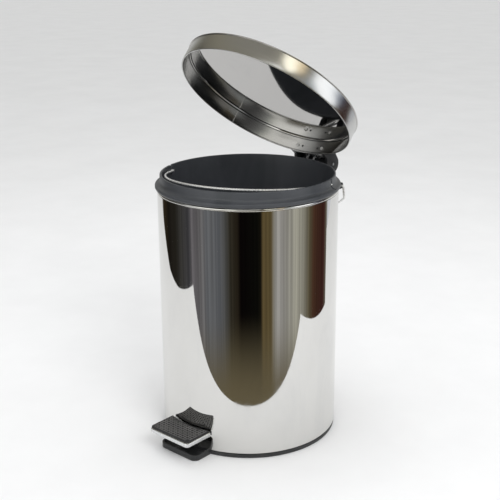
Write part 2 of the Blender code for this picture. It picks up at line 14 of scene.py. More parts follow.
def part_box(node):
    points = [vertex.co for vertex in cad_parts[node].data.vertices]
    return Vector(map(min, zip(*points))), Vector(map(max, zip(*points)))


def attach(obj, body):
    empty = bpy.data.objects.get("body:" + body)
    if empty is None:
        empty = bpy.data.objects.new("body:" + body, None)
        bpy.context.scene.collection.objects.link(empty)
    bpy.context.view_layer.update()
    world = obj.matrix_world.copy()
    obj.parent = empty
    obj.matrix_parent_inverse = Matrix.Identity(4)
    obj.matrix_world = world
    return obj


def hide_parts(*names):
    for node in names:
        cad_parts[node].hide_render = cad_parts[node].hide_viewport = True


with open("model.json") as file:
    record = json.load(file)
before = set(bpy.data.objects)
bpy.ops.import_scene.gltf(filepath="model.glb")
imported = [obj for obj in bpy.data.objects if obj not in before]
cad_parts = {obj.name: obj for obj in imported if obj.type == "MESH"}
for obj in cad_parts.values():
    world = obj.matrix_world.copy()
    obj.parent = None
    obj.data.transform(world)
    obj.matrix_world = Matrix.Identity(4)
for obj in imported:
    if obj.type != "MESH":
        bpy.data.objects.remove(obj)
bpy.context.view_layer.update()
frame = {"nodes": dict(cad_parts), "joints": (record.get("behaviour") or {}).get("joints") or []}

JOINTS = {joint["name"]: joint for joint in frame["joints"]}

# ---------------------------------------------------------------- dimensions

GAP = 0.0003    # kept between pieces that touch

SHELL_LOW, SHELL_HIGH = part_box("body_shell")
BEAD_RADIUS = SHELL_HIGH.x
SHELL_RADIUS = BEAD_RADIUS - 0.0004
SHELL_WALL = 0.0008
SHELL_TOP = SHELL_HIGH.z
SHELL_BOTTOM = SHELL_LOW.z

BUCKET_LOW, BUCKET_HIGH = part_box("bucket")
RIM_TOP = BUCKET_HIGH.z
RIM_FLARE = BUCKET_HIGH.x
RIM_RADIUS = RIM_FLARE - 0.0070
RIM_INNER = RIM_RADIUS - 0.0029
BUCKET_BOTTOM = BUCKET_LOW.z

BAIL_Z = JOINTS["bail_hinge"]["pos_m"][2]
BAIL_AXIS = JOINTS["bail_hinge"]["axis"]
BUCKET_TURN = math.atan2(-BAIL_AXIS[1], -BAIL_AXIS[0])
BAIL_REST = math.radians(5.3)
BAIL_RADIUS = 0.1133
BAIL_WIRE = 0.00145

HINGE_Y, HINGE_Z = JOINTS["lid_hinge"]["pos_m"][1:]
LID_OPEN = math.radians(-JOINTS["lid_hinge"]["range_deg"][0])
LID_RADIUS = 0.1275
LID_WALL = 0.0010
LID_RIM_Z = 0.3598
LID_TOP_Z = 0.3848
LID_FIXING_Z = 0.3700
RIVET_X = 0.0220
SPARE_HOLE_X = 0.0140

ROD_Y, ROD_Z = JOINTS["rod_pivot"]["pos_m"][1:]
ROD_HALF = 0.0061
ROD_WIRE = 0.0015

BASE_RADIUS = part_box("base_ring")[1].x
BAND_TOP = 0.0056
SPIGOT_TOP = 0.0180

PLATE_LOW, PLATE_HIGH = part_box("pedal_plate")
TREAD_HALF = PLATE_HIGH.x
TREAD_FRONT = PLATE_LOW.y
TREAD_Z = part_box("pedal_pad")[1].z
PLATE_Z = PLATE_HIGH.z
SKIRT_Z = PLATE_LOW.z
TREAD_BACK = 0.1272
PAD_BORDER = 0.0012
PAD_CORNER = 0.0043
WAFFLE_HEIGHT = 0.0007
WAFFLE_MARGIN = 0.0020
PIT_PITCH = 0.0046
PIT_COLUMNS, PIT_ROWS = 15, 8
PIT_WIDE, PIT_NARROW = 0.0027, 0.0019

HANDLE_Y, HANDLE_Z = JOINTS["handle_hinge"]["pos_m"][1:]
CLIP_X = 0.0800

FINE = 288
LID_PLACE = (
    Matrix.Translation((0, HINGE_Y, HINGE_Z))
    @ Matrix.Rotation(-LID_OPEN, 4, "X")
    @ Matrix.Translation((0, -HINGE_Y, -HINGE_Z))
)
BUCKET_PLACE = Matrix.Rotation(BUCKET_TURN, 4, "Z")
STILL = Matrix.Identity(4)


# ---------------------------------------------------------------- outlines and paths

def fillet(corners, closed=True, steps=6):
    """Points through corners, each (position, radius), with an arc of `steps` spans at a radius."""
    points = []
    for index, (corner, radius) in enumerate(corners):
        corner = Vector(corner)
        if radius == 0 or (not closed and index in (0, len(corners) - 1)):
            points.append(corner)
            continue
        before = (Vector(corners[index - 1][0]) - corner).normalized()
        after = (Vector(corners[(index + 1) % len(corners)][0]) - corner).normalized()
        half = before.angle(after) / 2
        centre = corner + (before + after).normalized() * (radius / math.sin(half))
        start = (corner + before * (radius / math.tan(half)) - centre).normalized()
        end = (corner + after * (radius / math.tan(half)) - centre).normalized()
        sweep = start.angle(end)
        for step in range(steps + 1):
            part = step / steps
            spoke = start * math.sin((1 - part) * sweep) + end * math.sin(part * sweep)
            points.append(centre + spoke * (radius / math.sin(sweep)))
    return points


def outline(*corners, steps=6):
    """A closed outline from corners (a, b) or (a, b, radius)."""
    listed = [((corner[0], corner[1], 0), corner[2] if len(corner) > 2 else 0) for corner in corners]
    return [(point.x, point.y) for point in fillet(listed, True, steps)]


def path(*corners, steps=8):
    """An open path from corners (x, y, z) or (x, y, z, radius)."""
    return fillet([(corner[:3], corner[3] if len(corner) > 3 else 0) for corner in corners], False, steps)


def arc(radius, start, end, steps, centre=(0, 0)):
    """Points on an arc, with the angles in degrees."""
    angles = [math.radians(start + (end - start) * step / steps) for step in range(steps + 1)]
    return [(centre[0] + radius * math.cos(a), centre[1] + radius * math.sin(a)) for a in angles]


# ---------------------------------------------------------------- meshes

def made(name, mesh, finish, place=STILL, sharp=32):
    """Turn a bmesh into a smooth-shaded object."""
    bmesh.ops.remove_doubles(mesh, verts=mesh.verts, dist=1e-7)
    bmesh.ops.recalc_face_normals(mesh, faces=mesh.faces)
    data = bpy.data.meshes.new(name)
    mesh.to_mesh(data)
    mesh.free()
    data.shade_smooth()
    data.set_sharp_from_angle(angle=math.radians(sharp))
    data.materials.append(finish)
    item = bpy.data.objects.new(name, data)
    item.matrix_world = place
    bpy.context.scene.collection.objects.link(item)
    return item


def ready(item, body, slot, *nodes):
    """Settle the piece where it stands, then hang it from its body and hide the nodes it replaces; the slot
    is not used.
    """
    item.data.transform(item.matrix_world)
    item.matrix_world = STILL
    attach(item, body)
    if nodes:
        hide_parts(*nodes)
    return item


def turned(name, profile, finish, place=STILL, steps=FINE, extra=(), sharp=32):
    """Turn a closed profile of (radius, height) about Z; `extra` adds angles in degrees."""
    angles = sorted({round(360 * step / steps, 4) for step in range(steps)} | {a % 360 for a in extra})
    mesh = bmesh.new()
    rings = []
    poles = {}
    for angle in map(math.radians, angles):
        ring = []
        for index, (radius, height) in enumerate(profile):
            if radius < 1e-6:
                if index not in poles:
                    poles[index] = mesh.verts.new((0, 0, height))
                ring.append(poles[index])
            else:
                ring.append(mesh.verts.new((radius * math.cos(angle), radius * math.sin(angle), height)))
        rings.append(ring)
    for ring, after in zip(rings, rings[1:] + rings[:1]):
        for index in range(len(profile)):
            other = (index + 1) % len(profile)
            corners = [ring[index], after[index], after[other], ring[other]]
            corners = [c for number, c in enumerate(corners) if c not in corners[:number]]
            if len(corners) > 2:
                mesh.faces.new(corners)
    return made(name, mesh, finish, place, sharp)


PLANES = {
    "X": lambda a, b, along: (along, a, b),
    "Y": lambda a, b, along: (a, along, b),
    "Z": lambda a, b, along: (a, b, along),
}


def prism(name, points, axis, low, high, finish, place=STILL):
    """Extrude a closed outline along an axis; the outline's plane is the other two axes in order."""
    mesh = bmesh.new()
    spot = PLANES[axis]
    face = mesh.faces.new([mesh.verts.new(spot(a, b, low)) for a, b in points])
    grown = bmesh.ops.extrude_face_region(mesh, geom=[face])
    moved = [item for item in grown["geom"] if isinstance(item, bmesh.types.BMVert)]
    bmesh.ops.translate(mesh, verts=moved, vec=Vector(spot(0, 0, high - low)))
    return made(name, mesh, finish, place)


def block(name, low, high, finish, place=STILL):
    corners = [(low[0], low[1]), (high[0], low[1]), (high[0], high[1]), (low[0], high[1])]
    return prism(name, corners, "Z", low[2], high[2], finish, place)


def bar(name, radius, start, end, finish, place=STILL, steps=40):
    """A round bar between two points."""
    start, end = Vector(start), Vector(end)
    lean = (end - start).to_track_quat("Z", "Y").to_matrix().to_4x4()
    profile = [(0, 0), (radius, 0), (radius, (end - start).length), (0, (end - start).length)]
    return turned(name, profile, finish, place @ Matrix.Translation(start) @ lean, steps)


def loft(name, rings, finish, place=STILL, sharp=32):
    """Join closed rings of equal count, in order, and cap the first and the last."""
    mesh = bmesh.new()
    rows = [[mesh.verts.new(point) for point in ring] for ring in rings]
    for row, after in zip(rows, rows[1:]):
        for index in range(len(row)):
            other = (index + 1) % len(row)
            mesh.faces.new([row[index], row[other], after[other], after[index]])
    mesh.faces.new(rows[0])
    mesh.faces.new(rows[-1])
    return made(name, mesh, finish, place, sharp)


def settle(item, sharp=32):
    """Bake the modifiers of a piece into its mesh, and drop the cutters that they used."""
    tools = [step.object for step in item.modifiers if step.type == "BOOLEAN"]
    view = bpy.context.evaluated_depsgraph_get()
    view.update()
    data = bpy.data.meshes.new_from_object(item.evaluated_get(view))
    item.modifiers.clear()
    item.data = data
    data.shade_smooth()
    data.set_sharp_from_angle(angle=math.radians(sharp))
    for tool in tools:
        bpy.data.objects.remove(tool)
    return item


def shaped(item, operation, *tools):
    for tool in tools:
        step = item.modifiers.new(tool.name, "BOOLEAN")
        step.operation = operation
        step.solver = "EXACT"
        step.object = tool
    bpy.context.view_layer.update()
    return settle(item)


def cut(item, *tools):
    return shaped(item, "DIFFERENCE", *tools)


def join(item, *tools):
    return shaped(item, "UNION", *tools)


def softened(item, width, segments=3, angle=32):
    """Round the sharp edges of a moulded or pressed piece."""
    merge = bmesh.new()
    merge.from_mesh(item.data)
    bmesh.ops.remove_doubles(merge, verts=merge.verts, dist=1e-6)
    bmesh.ops.dissolve_limit(merge, angle_limit=math.radians(0.5), verts=merge.verts, edges=merge.edges)
    merge.to_mesh(item.data)
    merge.free()
    step = item.modifiers.new("soften", "BEVEL")
    step.width = width
    step.segments = segments
    step.limit_method = "ANGLE"
    step.angle_limit = math.radians(angle)
    step.use_clamp_overlap = True
    step.harden_normals = False
    return settle(item, 40)


def wire(name, points, radius, finish, place=STILL, sides=7):
    """A bent wire with rounded ends."""
    curve = bpy.data.curves.new(name, "CURVE")
    curve.dimensions = "3D"
    points = [Vector(point) for point in points]
    first = (points[0] - points[1]).normalized()
    last = (points[-1] - points[-2]).normalized()
    spread = [0.0, 0.45, 0.72, 0.90, 1.0]
    inset = [0.0, 0.0011, 0.0030, 0.0056, 0.0100]
    scale = radius / 0.0100
    head = [points[0] - first * (step * scale) for step in inset]
    tail = [points[-1] - last * (step * scale) for step in reversed(inset)]
    whole = head + points[1:-1] + tail
    widths = spread + [1.0] * (len(points) - 2) + spread[::-1]
    spline = curve.splines.new("POLY")
    spline.points.add(len(whole) - 1)
    for target, point, width in zip(spline.points, whole, widths):
        target.co = (*point, 1)
        target.radius = width
    spline.use_smooth = True
    curve.bevel_depth = radius
    curve.bevel_resolution = sides
    curve.use_fill_caps = False
    curve.materials.append(finish)
    item = bpy.data.objects.new(name, curve)
    item.matrix_world = place
    bpy.context.scene.collection.objects.link(item)
    return item


def on_wall(radius, x, z):
    """A point at the rear of a cylinder about Z, and the outward direction there."""
    y = math.sqrt(radius**2 - x**2)
    return Vector((x, y, z)), Vector((x / radius, y / radius, 0))


def through(name, spot, outward, radius, finish, place=STILL, depth=0.0060):
    """A cutter for a hole straight through a wall."""
    return bar(name, radius, spot - outward * depth, spot + outward * depth, finish, place, 32)


# ---------------------------------------------------------------- finishes

class Graph:
    """Short calls for building a node tree; the tilt turns a piece's grain back to the level."""

    tilt = 0.0

    def __init__(self, tree):
        self.tree = tree

    def node(self, kind, inputs=None, output=0, **settings):
        item = self.tree.nodes.new("ShaderNode" + kind)
        for key, value in settings.items():
            setattr(item, key, value)
        for key, value in (inputs or {}).items():
            if isinstance(value, bpy.types.NodeSocket):
                self.tree.links.new(value, item.inputs[key])
            else:
                item.inputs[key].default_value = value
        return item.outputs[output]

    def maths(self, operation, *values, clamp=False):
        return self.node("Math", dict(enumerate(values)), operation=operation, use_clamp=clamp)

    def spot(self, scale=(1, 1, 1)):
        """The piece's own coordinates, in metres, times a scale for each axis."""
        source = self.node("TexCoord", output="Object")
        if self.tilt:
            inputs = {"Vector": source, "Center": (0, HINGE_Y, HINGE_Z), "Angle": self.tilt}
            source = self.node("VectorRotate", inputs, rotation_type="X_AXIS")
        return self.node("Mapping", {"Vector": source, "Scale": scale})

    def noise(self, scale, detail=3, roughness=0.5, spread=(1, 1, 1), distortion=0.0):
        inputs = {"Vector": self.spot(spread), "Scale": scale, "Detail": detail, "Roughness": roughness}
        inputs["Distortion"] = distortion
        return self.node("TexNoise", inputs, output="Fac")

    def fit(self, value, low, high, start, end, smooth=False):
        kind = "SMOOTHSTEP" if smooth else "LINEAR"
        inputs = {"Value": value, "From Min": low, "From Max": high, "To Min": start, "To Max": end}
        return self.node("MapRange", inputs, interpolation_type=kind)

    def mix(self, factor, first, second, blend="MIX"):
        item = self.tree.nodes.new("ShaderNodeMix")
        item.data_type = "RGBA"
        item.blend_type = blend
        for index, value in ((0, factor), (6, first), (7, second)):
            if isinstance(value, bpy.types.NodeSocket):
                self.tree.links.new(value, item.inputs[index])
            else:
                item.inputs[index].default_value = value if index == 0 else (*value, 1)
        return item.outputs[2]

    def ramp(self, factor, stops):
        item = self.tree.nodes.new("ShaderNodeValToRGB")
        self.tree.links.new(factor, item.inputs[0])
        marks = item.color_ramp.elements
        while len(marks) < len(stops):
            marks.new(0.5)
        for mark, (place, colour) in zip(marks, stops):
            mark.position = place
            mark.color = (*colour, 1)
        return item.outputs[0]


class Finish(Graph):
    """A procedural material round one Principled shader."""

    def __init__(self, name, colour, roughness, metallic=0.0, specular=0.5):
        self.material = bpy.data.materials.new(name)
        self.material.use_nodes = True
        super().__init__(self.material.node_tree)
        self.shader = self.tree.nodes["Principled BSDF"]
        self.shader.inputs["Base Color"].default_value = (*colour, 1)
        self.shader.inputs["Roughness"].default_value = roughness
        self.shader.inputs["Metallic"].default_value = metallic
        self.shader.inputs["Specular IOR Level"].default_value = specular

    def colour(self, socket):
        self.tree.links.new(socket, self.shader.inputs["Base Color"])

    def rough(self, socket):
        self.tree.links.new(socket, self.shader.inputs["Roughness"])

    def bump(self, *layers):
        """Stack bumps, each (height socket, depth in metres)."""
        normal = None
        for height, depth in layers:
            inputs = {"Height": height, "Distance": depth, "Strength": 1.0}
            if normal is not None:
                inputs["Normal"] = normal
            normal = self.node("Bump", inputs)
        self.tree.links.new(normal, self.shader.inputs["Normal"])


def polished_steel():
    """Mirror-polished sheet: faint waves from rolling, wiped smears and a few fine scratches."""
    finish = Finish("polished_steel", (0.74, 0.735, 0.72), 0.04, 1.0)
    smears = finish.noise(14, 5, 0.6, (1, 1, 0.35), 0.6)
    dust = finish.noise(900, 2, 0.5)
    smear_mask = finish.fit(smears, 0.56, 0.74, 0.0, 1.0, True)
    base = finish.fit(dust, 0.35, 0.75, 0.022, 0.040)
    finish.rough(finish.maths("ADD", base, finish.maths("MULTIPLY", smear_mask, 0.055)))
    tone = finish.mix(smear_mask, (0.745, 0.740, 0.725), (0.715, 0.712, 0.702))
    finish.colour(tone)
    waves = finish.noise(11, 2, 0.4, (1.6, 1.6, 0.30))
    lines = finish.noise(60, 3, 0.55, (1.0, 1.0, 0.02))
    finish.bump((waves, 0.00011), (lines, 0.0000045))
    return finish.material


def polished_disc():
    """The lid's sheet: the same polish, with wiped smears and faint waves."""
    finish = Finish("polished_disc", (0.52, 0.51, 0.50), 0.05, 1.0)
    smears = finish.noise(11, 5, 0.6, (1, 1, 1), 0.8)
    mask = finish.fit(smears, 0.55, 0.75, 0.0, 1.0, True)
    finish.rough(finish.fit(mask, 0.0, 1.0, 0.035, 0.085))
    finish.colour(finish.mix(mask, (0.525, 0.515, 0.505), (0.485, 0.478, 0.472)))
    waves = finish.noise(9, 2, 0.4)
    finish.bump((waves, 0.00007))
    return finish.material


def satin_steel(name, roughness, spread, colour=(0.70, 0.70, 0.69), tilt=0.0):
    """Sheet brushed along the directions in which `spread` is small."""
    finish = Finish(name, colour, roughness, 1.0)
    finish.tilt = tilt
    brush = finish.noise(1.0, 6, 0.65, spread)
    cloud = finish.noise(26, 4, 0.55)
    darker = tuple(part * 0.86 for part in colour)
    finish.colour(finish.mix(finish.fit(brush, 0.30, 0.70, 0.0, 1.0), darker, colour))
    uneven = finish.fit(brush, 0.25, 0.75, roughness * 0.80, roughness * 1.25)
    finish.rough(finish.maths("ADD", uneven, finish.fit(cloud, 0.4, 0.7, 0.0, 0.05)))
    finish.bump((brush, 0.0000030))
    return finish.material


def wire_steel():
    """Drawn wire: die lines and the odd dull patch."""
    finish = Finish("drawn_wire", (0.80, 0.80, 0.79), 0.26, 0.6)
    patches = finish.noise(160, 4, 0.6)
    grain = finish.noise(2400, 2, 0.5)
    finish.rough(finish.fit(patches, 0.35, 0.72, 0.20, 0.38))
    finish.colour(finish.mix(finish.fit(patches, 0.5, 0.75, 0, 1), (0.80, 0.80, 0.79), (0.66, 0.66, 0.65)))
    finish.bump((grain, 0.000008))
    return finish.material


def zinc_steel():
    """Zinc plate: a pale, patchy crystal bloom."""
    finish = Finish("zinc_plate", (0.60, 0.61, 0.62), 0.34, 1.0)
    bloom = finish.node("TexVoronoi", {"Vector": finish.spot(), "Scale": 420.0}, output="Distance")
    cloud = finish.noise(90, 4, 0.6)
    finish.colour(finish.mix(finish.fit(cloud, 0.35, 0.7, 0, 1), (0.66, 0.67, 0.68), (0.46, 0.47, 0.49)))
    finish.rough(finish.fit(bloom, 0.0, 0.8, 0.26, 0.44))
    finish.bump((bloom, 0.000012))
    return finish.material


def black_plastic():
    """Fine-grained moulded plastic, a little dusty and scuffed."""
    finish = Finish("moulded_black", (0.018, 0.019, 0.020), 0.38, 0.0, 0.5)
    grain = finish.noise(2600, 2, 0.5)
    cloud = finish.noise(45, 4, 0.6)
    dust = finish.noise(700, 3, 0.6)
    specks = finish.fit(dust, 0.62, 0.78, 0.0, 0.5, True)
    tone = finish.mix(finish.fit(cloud, 0.4, 0.7, 0, 1), (0.015, 0.016, 0.017), (0.026, 0.027, 0.028))
    finish.colour(finish.mix(specks, tone, (0.055, 0.055, 0.052)))
    finish.rough(finish.fit(cloud, 0.3, 0.75, 0.30, 0.48))
    finish.bump((grain, 0.000022), (cloud, 0.00006))
    return finish.material


def bucket_plastic():
    """Charcoal moulded plastic with a soft sheen, flow marks and a few pale rubs."""
    finish = Finish("moulded_charcoal", (0.036, 0.039, 0.043), 0.40, 0.0, 0.5)
    flow = finish.noise(17, 4, 0.6, (1, 1, 0.25), 0.7)
    grain = finish.noise(1900, 2, 0.5)
    rubs = finish.noise(60, 5, 0.65, (1, 1, 2.5), 1.2)
    mask = finish.fit(rubs, 0.63, 0.76, 0.0, 0.35, True)
    tone = finish.mix(finish.fit(flow, 0.35, 0.7, 0, 1), (0.042, 0.046, 0.052), (0.062, 0.066, 0.074))
    finish.colour(finish.mix(mask, tone, (0.085, 0.088, 0.092)))
    finish.rough(finish.fit(flow, 0.3, 0.75, 0.34, 0.50))
    finish.bump((grain, 0.000018), (flow, 0.00012))
    return finish.material


def black_rubber(name, dark, worn):
    """Matt rubber, paler where shoes have rubbed it and dusty in between."""
    finish = Finish(name, dark, 0.62, 0.0, 0.45)
    wear = finish.noise(70, 5, 0.6)
    dust = finish.noise(1400, 3, 0.6)
    tone = finish.mix(finish.fit(wear, 0.4, 0.7, 0, 1), dark, worn)
    finish.colour(finish.mix(finish.fit(dust, 0.58, 0.76, 0, 0.5, True), tone, (0.095, 0.092, 0.088)))
    finish.rough(finish.fit(wear, 0.3, 0.75, 0.52, 0.74))
    finish.bump((dust, 0.00003))
    return finish.material


MIRROR = polished_steel()
DISC = polished_disc()
BAND = satin_steel("brushed_band", 0.20, (7, 7, 3600), (0.62, 0.62, 0.61), LID_OPEN)
TREAD = satin_steel("brushed_tread", 0.24, (1500, 40, 40), (0.80, 0.81, 0.82))
SMALL = satin_steel("brushed_small", 0.22, (900, 900, 900))
WIRE = wire_steel()
ZINC = zinc_steel()
BLACK = black_plastic()
CHARCOAL = bucket_plastic()
RUBBER = black_rubber("rubber_border", (0.018, 0.018, 0.020), (0.034, 0.034, 0.036))
WAFFLE = black_rubber("rubber_waffle", (0.090, 0.088, 0.088), (0.130, 0.127, 0.124))
# Same rubber as the waffle, made near-black for the pits: painted shade in the recesses.
PIT_SHADE_RUBBER = black_rubber("rubber_pit_painted_shade", (0.007, 0.007, 0.008), (0.014, 0.014, 0.015))


# ---------------------------------------------------------------- the body

def make_tube():
    """The body's tube: rolled bead on top, lip at the foot, and a butt seam down the back."""
    inner = SHELL_RADIUS - SHELL_WALL
    roll = 0.0021
    bead = arc(roll, -60, 200, 18, (BEAD_RADIUS - roll, SHELL_TOP - roll))
    foot = arc(0.0007, -90, 0, 4, (SHELL_RADIUS - 0.0007, SHELL_BOTTOM + 0.0007))
    lip = [(inner, SHELL_BOTTOM + 0.0010), (0.1233, SHELL_BOTTOM + 0.0010), (0.1233, SHELL_BOTTOM)]
    rise = [(SHELL_RADIUS, SHELL_BOTTOM + 0.0007 + (SHELL_TOP - 0.012) * part / 8) for part in range(1, 8)]
    profile = foot[1:] + rise + [(SHELL_RADIUS, SHELL_TOP - 0.0043)] + bead
    profile += [(inner, SHELL_TOP - 0.0046)] + lip
    seam = 101.0
    wide = (-0.30, -0.12, 0.0, 0.12, 0.30)
    tube = turned("body_tube", profile, MIRROR, extra=[seam + step for step in wide])
    for vertex in tube.data.vertices:
        x, y, _ = vertex.co
        off = math.degrees(math.atan2(y, x)) - seam
        if abs(off) < 0.2 and math.hypot(x, y) > SHELL_RADIUS - 0.0001:
            dip = 0.00016 if abs(off) < 0.05 else 0.00003
            vertex.co.x -= dip * x / SHELL_RADIUS
            vertex.co.y -= dip * y / SHELL_RADIUS
    front = prism("front_slot", outline((-0.0150, 0), (0.0150, 0), (0.0150, 0.0350, 0.005),
                  (-0.0150, 0.0350, 0.005)), "Y", -0.14, -0.11, MIRROR)
    rear = prism("rear_slot", outline((-0.0128, 0), (0.0128, 0), (0.0128, 0.0320, 0.004),
                 (-0.0128, 0.0320, 0.004)), "Y", 0.11, 0.14, MIRROR)
    cut(tube, front, rear)
    ready(tube, "body", "polished_steel", "body_shell")


def closed_back(half, front, corner, drop, radius, steps=8):
    """Plan of a pocket on the body: round front corners, and a back that follows a cylinder.

    `drop` draws the outline in. The front is at y < 0."""
    half, front = half - drop, front + drop
    corner = max(corner - drop, 0.0005)
    left = arc(corner, 180, 270, steps, (-half + corner, front + corner))
    right = arc(corner, 270, 360, steps, (half - corner, front + corner))
    spread = math.asin(half / radius)
    back = []
    for step in range(1, 12):
        angle = spread - 2 * spread * step / 12
        back.append((radius * math.sin(angle), -radius * math.cos(angle)))
    start = (-half, -math.sqrt(radius**2 - half**2))
    end = (half, -math.sqrt(radius**2 - half**2))
    return [start] + left + right + [end] + back


def pocket(name, half, front, corner, wall, floor, rim, radius, place=STILL):
    """An open-topped moulded pocket with a rounded rim."""
    edge = wall / 2
    levels = [(0.0007, 0.0), (0.0, 0.0008), (0.0, rim - edge)]
    levels += [(edge - edge * math.cos(a), rim - edge + edge * math.sin(a))
               for a in (math.radians(step * 22.5) for step in range(1, 8))]
    levels += [(wall, rim - edge), (wall, floor + 0.0009), (wall + 0.0009, floor)]
    rings = [[(x, y, z) for x, y in closed_back(half, front, corner, drop, radius)] for drop, z in levels]
    return loft(name, rings, BLACK, place, 50)


def make_base():
    """The black base: ring, foot tray with ribs, and the pocket for the rod."""
    ring = turned("base_ring_moulded", outline(
        (0.1080, 0.0), (BASE_RADIUS, 0.0, 0.0016), (BASE_RADIUS, BAND_TOP, 0.0022),
        (0.1226, BAND_TOP + 0.0004, 0.0003), (0.1226, 0.0085, 0.0002), (0.1239, 0.0087),
        (0.1239, SPIGOT_TOP, 0.0006), (0.1212, SPIGOT_TOP, 0.0006), (0.1205, 0.0030), (0.1080, 0.0030)),
        BLACK)
    cut(
        ring,
        block("lever_way", (-0.0148, -0.1300, 0.0066), (0.0148, -0.1150, 0.0348), BLACK),
        block("tail_way", (-0.0125, 0.1150, 0.0066), (0.0125, 0.1300, 0.0348), BLACK),
    )
    ready(ring, "body", "black_plastic", "base_ring")

    tray_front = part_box("base_ring")[0].y
    tray = pocket("foot_tray", 0.0350, tray_front, 0.0095, 0.0028, 0.0030, 0.0088, 0.1242)
    ready(tray, "body", "black_plastic", "base_ring")
    rear = pocket("rod_pocket", 0.0165, -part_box("base_ring")[1].y, 0.0060, 0.0025, 0.0030, 0.0300, 0.1256,
                  Matrix.Rotation(math.pi, 4, "Z"))
    ready(rear, "body", "black_plastic", "base_ring")

    ribs = bmesh.new()
    count = 23
    for number in range(count):
        x = -0.0264 + 0.0528 * number / (count - 1)
        spot = (Matrix.Translation((x, tray_front + 0.0033, 0.0052))
                @ Matrix.Diagonal((0.0010, 0.0012, 0.0044, 1)))
        bmesh.ops.create_cube(ribs, size=1, matrix=spot)
    edges = [edge for edge in ribs.edges]
    bmesh.ops.bevel(ribs, geom=edges, offset=0.0003, segments=2, affect="EDGES")
    ready(made("tray_ribs", ribs, BLACK), "body", "black_plastic", "base_ring")


def fastener(name, spot, outward, grip, shank, head, finish, place=STILL, cross=False):
    """A domed rivet or a cross-headed screw through `grip` of material."""
    lean = outward.to_track_quat("Z", "Y").to_matrix().to_4x4()
    dome = [(head, 0.0002), (head, 0.0005)]
    dome += [(head * math.cos(a), 0.0005 + head * 0.45 * math.sin(a))
             for a in (math.radians(step * 15) for step in range(1, 6))]
    dome.append((0, 0.0005 + head * 0.45))
    tail = -grip - 0.0004
    profile = [(0, tail - head * 0.3), (head * 0.72, tail - head * 0.25), (head * 0.78, tail), (shank, tail)]
    profile += [(shank, 0.0002)] + dome
    item = turned(name, profile, finish, place @ Matrix.Translation(spot) @ lean, 48)
    if cross:
        for number, (a, b) in enumerate(((1, 0.26), (0.26, 1))):
            reach = head * 0.62
            tool = block(f"{name}_cross_{number}", (-reach * a, -reach * b, head * 0.12),
                         (reach * a, reach * b, 0.01), finish, item.matrix_world)
            cut(item, tool)
    return item


def make_hinge():
    """The block behind the body with two arms round the pin, its two screws, and the handle's clips."""
    plate = turned("hinge_moulding", outline((SHELL_RADIUS + GAP, 0.3180), (0.1278, 0.3180, 0.0006),
                   (0.1278, 0.3502), (0.1258, 0.3512), (0.1258, 0.3490), (SHELL_RADIUS + GAP, 0.3486)),
                   BLACK, steps=360)
    keep = prism("block_outline", outline((-0.0300, 0.3150, 0.008), (0.0300, 0.3150, 0.008),
                 (0.0300, 0.3600, 0.002), (-0.0300, 0.3600, 0.002), steps=8), "Y", 0.10, 0.14, BLACK)
    shaped(plate, "INTERSECT", keep)
    knuckle = arc(0.0072, -40, 150, 20, (HINGE_Y, HINGE_Z))
    side = [(0.1240, 0.3210), (0.1330, 0.3240)] + knuckle
    side += [(0.1310, 0.3540), (0.1292, 0.3508), (0.1240, 0.3500)]
    arms = prism("hinge_arms", side, "X", -0.0212, 0.0212, BLACK)
    cut(
        arms,
        turned("arm_room", [(0.05, 0.30), (0.1262, 0.30), (0.1262, 0.38), (0.05, 0.38)], BLACK),
        block("rod_way", (-0.0106, 0.1278, 0.30), (0.0106, 0.18, 0.40), BLACK),
    )
    softened(arms, 0.0006, 3)
    join(plate, arms)
    cut(plate, bar("block_bore", 0.0023, (-0.03, HINGE_Y, HINGE_Z), (0.03, HINGE_Y, HINGE_Z), BLACK))
    ready(plate, "body", "black_plastic", "hinge_block")
    for side, name in ((-1, "left"), (1, "right")):
        spot, outward = on_wall(SHELL_RADIUS, side * 0.0252, 0.3350)
        screw = fastener(f"block_screw_{name}", spot + outward * 0.0028, outward, 0.0036, 0.0015, 0.0031,
                         ZINC, cross=True)
        ready(screw, "body", "zinc_steel", f"hinge_screw_{name}")

        x = side * CLIP_X
        tab = turned(f"clip_{name}", [(SHELL_RADIUS + GAP, 0.3300), (0.1268, 0.3300), (0.1268, 0.3488),
                     (SHELL_RADIUS + GAP, 0.3488)], BLACK, steps=360)
        keep = prism("clip_outline", outline((x - 0.0042, 0.3310, 0.002), (x + 0.0042, 0.3310, 0.002),
                     (x + 0.0042, 0.3600), (x - 0.0042, 0.3600)), "Y", 0.08, 0.12, BLACK)
        shaped(tab, "INTERSECT", keep)
        eye = prism("clip_eye", outline((0.0900, 0.3420), (0.1080, 0.3428, 0.0034), (0.1080, 0.3514, 0.0034),
                    (0.0900, 0.3505)), "X", x - 0.0034, x + 0.0034, BLACK)
        cut(eye, turned("eye_room", [(0.05, 0.33), (0.1262, 0.33), (0.1262, 0.36), (0.05, 0.36)], BLACK))
        softened(eye, 0.0005, 3)
        join(tab, eye)
        cut(tab, bar("clip_bore", 0.0018, (x - 0.01, HANDLE_Y, HANDLE_Z),
                     (x + 0.01, HANDLE_Y, HANDLE_Z), BLACK))
        ready(tab, "body", "black_plastic", f"handle_clip_{name}")
        spot, outward = on_wall(SHELL_RADIUS, x, 0.3360)
        rivet = fastener(f"clip_pin_{name}", spot + outward * 0.0018, outward, 0.0026, 0.0014, 0.0027, SMALL)
        ready(rivet, "body", "satin_steel", f"clip_rivet_{name}")


def make_handle():
    """The carrying handle: a wire loop that hangs from the two clips."""
    end, out = 0.0748, 0.0868
    right = [(out, 0, 0, 0.0032), (out, 0.0030, -0.0180, 0.0080), (0.0470, 0.0440, -0.0400, 0.0300)]
    left = [(-corner[0], *corner[1:]) for corner in reversed(right)]
    place = Matrix.Translation((0, HANDLE_Y, HANDLE_Z))
    loop = wire("handle_loop", path((end, 0, 0), *right, *left, (-end, 0, 0), steps=10), 0.0015, WIRE, place)
    ready(loop, "handle", "bright_wire", "carry_handle")


